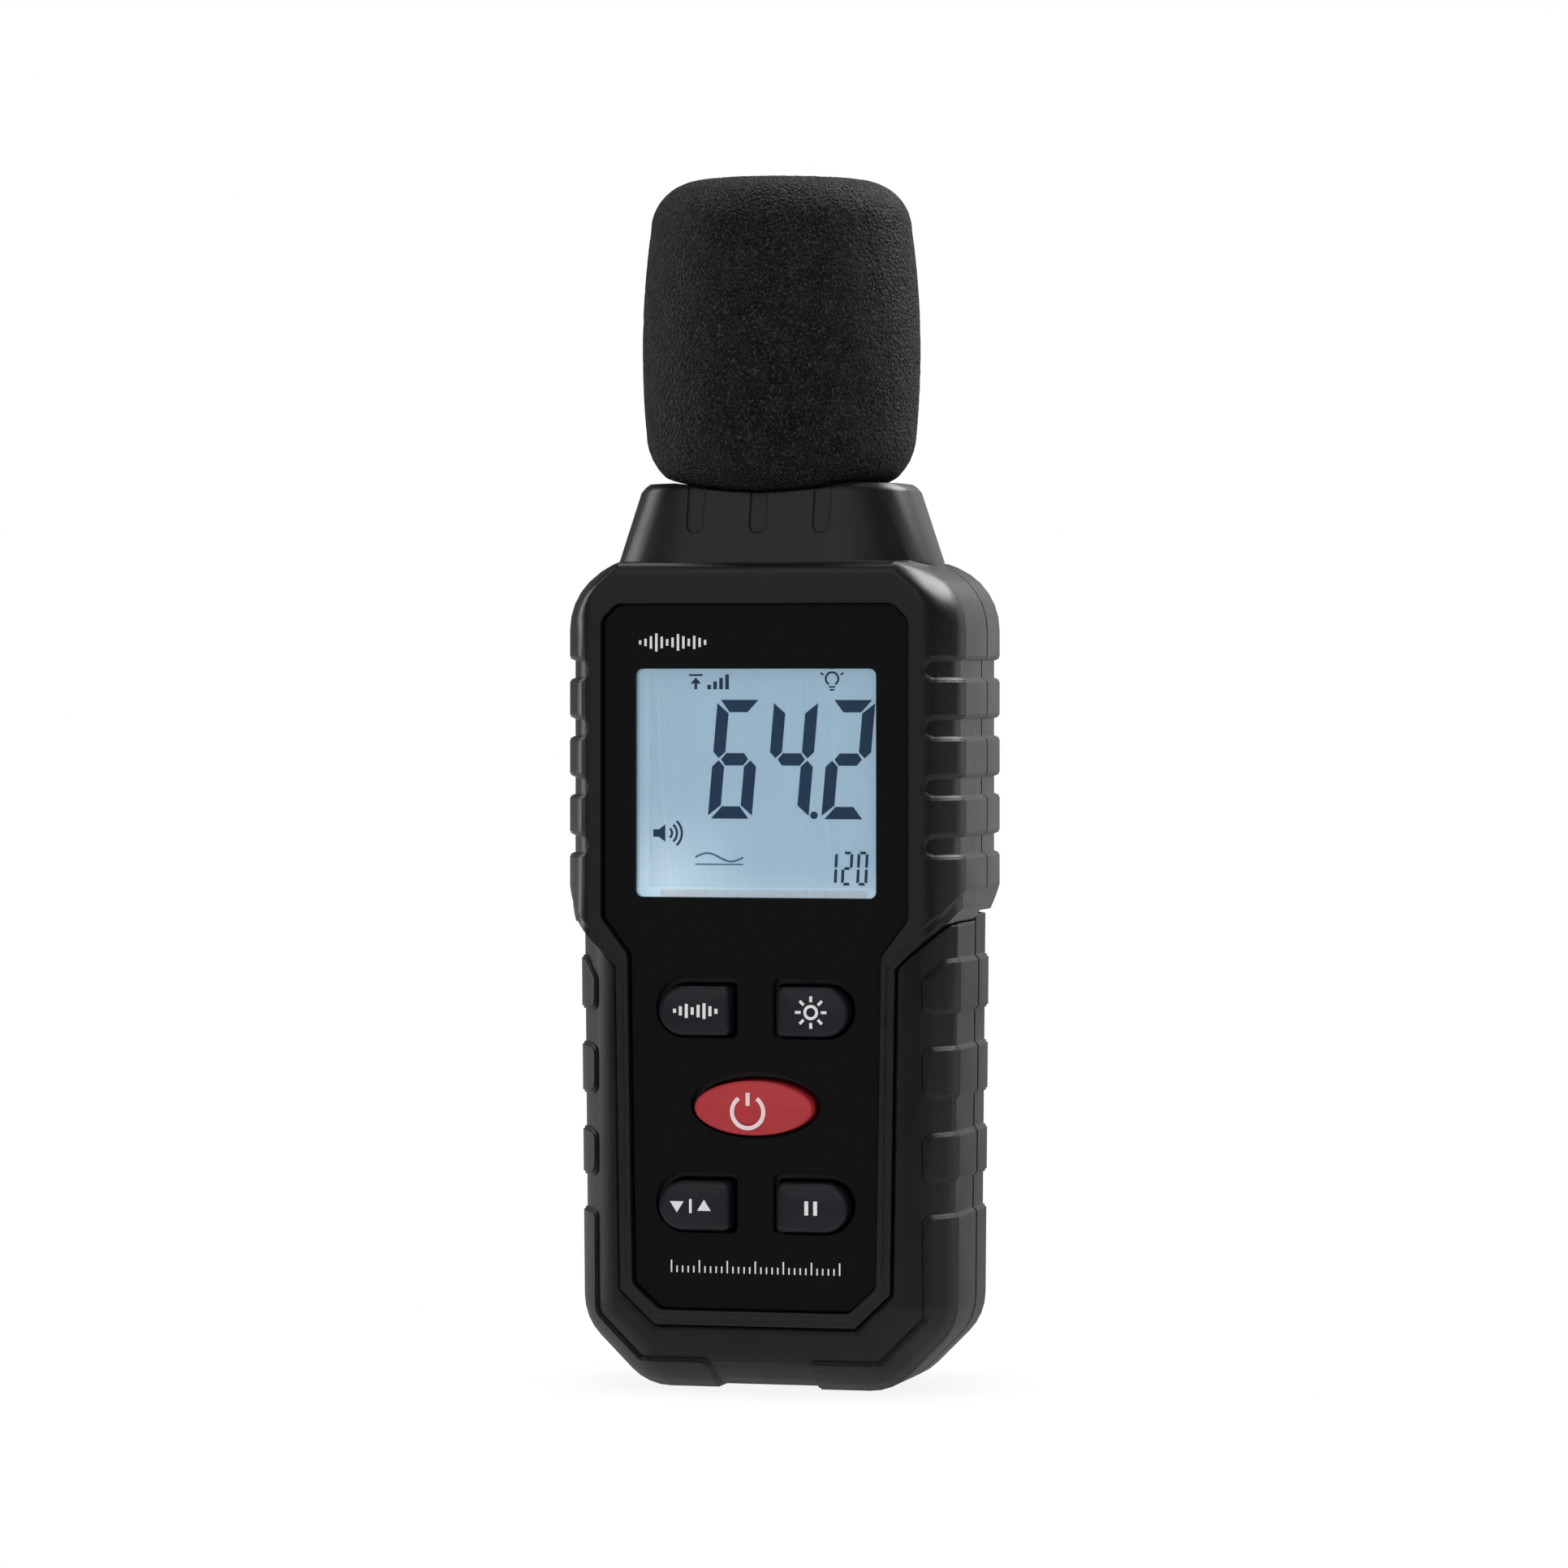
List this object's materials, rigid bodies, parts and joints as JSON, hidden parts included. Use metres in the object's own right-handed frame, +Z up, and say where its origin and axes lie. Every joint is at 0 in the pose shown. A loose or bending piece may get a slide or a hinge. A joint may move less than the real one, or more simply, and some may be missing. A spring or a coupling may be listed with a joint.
{
  "type": "sound level meter",
  "caption": "Hand-held sound level meter with a foam windscreen on its microphone, a backlit display, a keypad, soft side grips and a battery bay.",
  "frame": {"origin": "centre of the bounding box at its bottom, on the plane of the bottom pads that it stands on; halfway between the front of the windscreen and the back of the case; the microphone axis is 0.45 mm in front of it", "axes": "+Z up along the length towards the microphone, +X to the right seen from the display side, the display faces -Y"},
  "size_m": [0.0498, 0.0351, 0.1478],
  "materials": {
    "case_plastic": "fine spark-eroded texture",
    "grip_rubber": "soft matt overmould",
    "panel_gloss": "polished",
    "lens": "clear",
    "display": "backlit pale blue display",
    "frame_plastic": "matt",
    "light_guide": "translucent white",
    "led": "clear resin",
    "elastomer": "striped elastomer",
    "board": "solder mask",
    "chip": "moulded epoxy",
    "can_metal": "drawn can",
    "capacitor": "sleeve",
    "trimmer": "moulded",
    "gold": "gold plated",
    "key_rubber": "silicone rubber, matt",
    "power_rubber": "red silicone rubber",
    "mat_rubber": "silicone rubber",
    "carbon": "conductive rubber",
    "mic_metal": "turned",
    "boot_rubber": "matt",
    "wire_pvc": "insulated wire",
    "wire_red": "insulated wire",
    "wire_black": "insulated wire",
    "connector": "nylon",
    "cell_sleeve": "plain printed sleeve",
    "nickel": "nickel plated spring steel",
    "cover_plastic": "fine spark-eroded texture",
    "pad_foam": "closed-cell foam",
    "screw_steel": "zinc plated",
    "nut_brass": "turned",
    "foam": "open-cell foam"
  },
  "bodies": {
    "housing": {"front_case": "case_plastic", "rear_case": "case_plastic", "front_grip": "grip_rubber", "rear_grip": "grip_rubber", "front_panel": "panel_gloss", "lcd_window": "lens", "lcd_frame": "frame_plastic", "lcd_glass": "display", "lcd_light_guide": "light_guide", "backlight_leds": "led", "elastomer_strip": "elastomer", "main_board": "board", "controller_chip": "chip", "amplifier_chip": "chip", "crystal": "can_metal", "capacitors": "capacitor", "trim_pot": "trimmer", "key_contacts": "gold", "keypad_mat": "mat_rubber", "mic_tube": "mic_metal", "mic_capsule": "mic_metal", "mic_boot": "boot_rubber", "mic_grille": "mic_metal", "mic_wires": "wire_pvc", "mic_connector": "connector", "battery_1": "cell_sleeve", "battery_2": "cell_sleeve", "battery_3": "cell_sleeve", "battery_springs": "nickel", "contact_positive": "nickel", "contact_negative": "nickel", "bridge_upper": "nickel", "bridge_lower": "nickel", "wire_positive": "wire_red", "wire_negative": "wire_black", "upper_case_screws": "screw_steel", "lower_case_screws": "screw_steel", "board_screws": "screw_steel", "tripod_nut": "nut_brass"},
    "key_mode_body": {"key_mode": "key_rubber", "pill_mode": "carbon"},
    "key_light_body": {"key_light": "key_rubber", "pill_light": "carbon"},
    "key_power_body": {"key_power": "power_rubber", "pill_power": "carbon"},
    "key_range_body": {"key_range": "key_rubber", "pill_range": "carbon"},
    "key_hold_body": {"key_hold": "key_rubber", "pill_hold": "carbon"},
    "battery_cover_body": {"battery_cover": "cover_plastic", "cover_pad": "pad_foam"},
    "windscreen_body": {"windscreen": "foam"}
  },
  "joints": [
    {"name": "mode_press", "type": "slide", "parent": "housing", "child": "key_mode_body", "axis": [0, 1, 0], "range_m": [0, 0.001], "stiffness_N_per_m": 500},
    {"name": "light_press", "type": "slide", "parent": "housing", "child": "key_light_body", "axis": [0, 1, 0], "range_m": [0, 0.001], "stiffness_N_per_m": 500},
    {"name": "power_press", "type": "slide", "parent": "housing", "child": "key_power_body", "axis": [0, 1, 0], "range_m": [0, 0.001], "stiffness_N_per_m": 500},
    {"name": "range_press", "type": "slide", "parent": "housing", "child": "key_range_body", "axis": [0, 1, 0], "range_m": [0, 0.001], "stiffness_N_per_m": 500},
    {"name": "hold_press", "type": "slide", "parent": "housing", "child": "key_hold_body", "axis": [0, 1, 0], "range_m": [0, 0.001], "stiffness_N_per_m": 500},
    {"name": "cover_swing", "type": "hinge", "parent": "housing", "child": "battery_cover_body", "pos_m": [0, 0.01575, 0.00815], "axis": [-1, 0, 0], "range_deg": [0, 90]},
    {"name": "windscreen_pull", "type": "slide", "parent": "housing", "child": "windscreen_body", "axis": [0, 0, 1], "range_m": [0, 0.045]}
  ]
}
